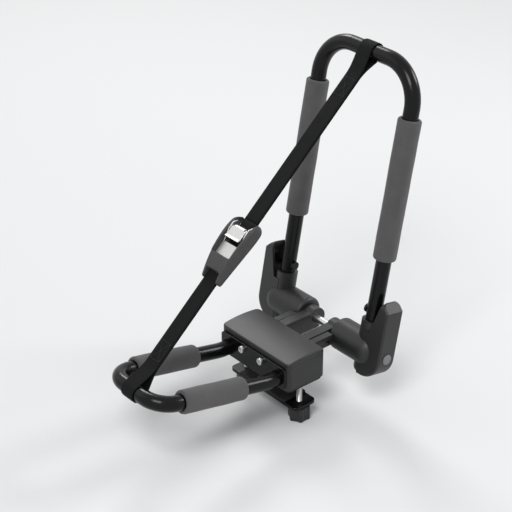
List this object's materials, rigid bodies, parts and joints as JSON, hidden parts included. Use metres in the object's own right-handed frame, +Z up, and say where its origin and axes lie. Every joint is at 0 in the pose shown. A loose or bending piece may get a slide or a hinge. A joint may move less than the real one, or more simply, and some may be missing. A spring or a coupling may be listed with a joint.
{
  "type": "j style kayak carrier",
  "caption": "Folding J shaped roof carrier for a kayak: a clamp-on base with a low padded hoop, a tall padded hoop that folds flat, and a webbing strap with a cam buckle in a rubber boot.",
  "frame": {"origin": "middle of the saddle pad's underside, where it sits on the crossbar's top face", "axes": "+X along the crossbar from the low hoop to the tall hoop, +Y along the car to the rear, +Z up"},
  "size_m": [0.4361, 0.26, 0.503],
  "materials": {
    "black_tube": "satin black powder coat",
    "painted_plate": "satin black paint",
    "moulded_black": "fine grained moulded nylon",
    "grey_plastic": "smooth moulded cap",
    "pad_rubber": "soft matt rubber",
    "grey_foam": "closed cell foam",
    "boot_rubber": "soft matt rubber",
    "strap_webbing": "flat woven polyester webbing",
    "plated_steel": "bright zinc plate",
    "buckle_metal": "satin nickel plate"
  },
  "bodies": {
    "base": {"saddle_pad": "pad_rubber", "base_body": "moulded_black", "base_cap": "moulded_black", "clamp_bolts": "plated_steel", "lower_hoop_tube": "black_tube", "lower_flange": "painted_plate", "flange_screws": "plated_steel", "lower_foam_front": "grey_foam", "lower_foam_rear": "grey_foam", "hinge_shaft": "plated_steel", "hinge_washers": "plated_steel"},
    "clamp": {"clamp_pad": "pad_rubber", "clamp_plate": "painted_plate", "clamp_washers": "plated_steel"},
    "knob_front": {"clamp_knob_front": "moulded_black"},
    "knob_rear": {"clamp_knob_rear": "moulded_black"},
    "upper_hoop": {"elbow_front": "moulded_black", "elbow_rear": "moulded_black", "upper_hoop_tube": "black_tube", "leg_bolts": "painted_plate", "shaft_caps": "grey_plastic", "upper_foam_front": "grey_foam", "upper_foam_rear": "grey_foam", "strap_upper_web": "strap_webbing"},
    "strap": {"strap_lower_web": "strap_webbing", "strap_grip_web": "strap_webbing", "buckle_frame": "buckle_metal", "cam_pin": "plated_steel", "cam_springs": "plated_steel", "buckle_boot": "boot_rubber"},
    "cam": {"cam_lever": "buckle_metal"}
  },
  "joints": [
    {"name": "hoop_fold", "type": "hinge", "parent": "base", "child": "upper_hoop", "pos_m": [0.098, 0, 0.03], "axis": [0, -1, 0], "range_deg": [0, 98], "deforming": ["strap_upper_web"]},
    {"name": "strap_swing", "type": "hinge", "parent": "base", "child": "strap", "pos_m": [-0.239, 0, 0.06129], "axis": [0, 1, 0], "range_deg": [0, 39]},
    {"name": "cam_press", "type": "hinge", "parent": "strap", "child": "cam", "pos_m": [-0.05751, 0, 0.23483], "axis": [0, -1, 0], "range_deg": [0, 13], "stiffness_Nm_per_rad": 0.2, "springref_deg": -14.32},
    {"name": "clamp_slide", "type": "slide", "parent": "base", "child": "clamp", "axis": [0, 0, 1], "range_m": [-0.01, 0]},
    {"name": "knob_turn_front", "type": "hinge", "parent": "clamp", "child": "knob_front", "pos_m": [0, -0.057, -0.0488], "axis": [0, 0, 1], "continuous": true},
    {"name": "knob_turn_rear", "type": "hinge", "parent": "clamp", "child": "knob_rear", "pos_m": [0, 0.057, -0.0488], "axis": [0, 0, 1], "continuous": true}
  ],
  "couplings": [
    {"joint": "strap_swing", "follows": "hoop_fold", "ratio": 0.395}
  ]
}
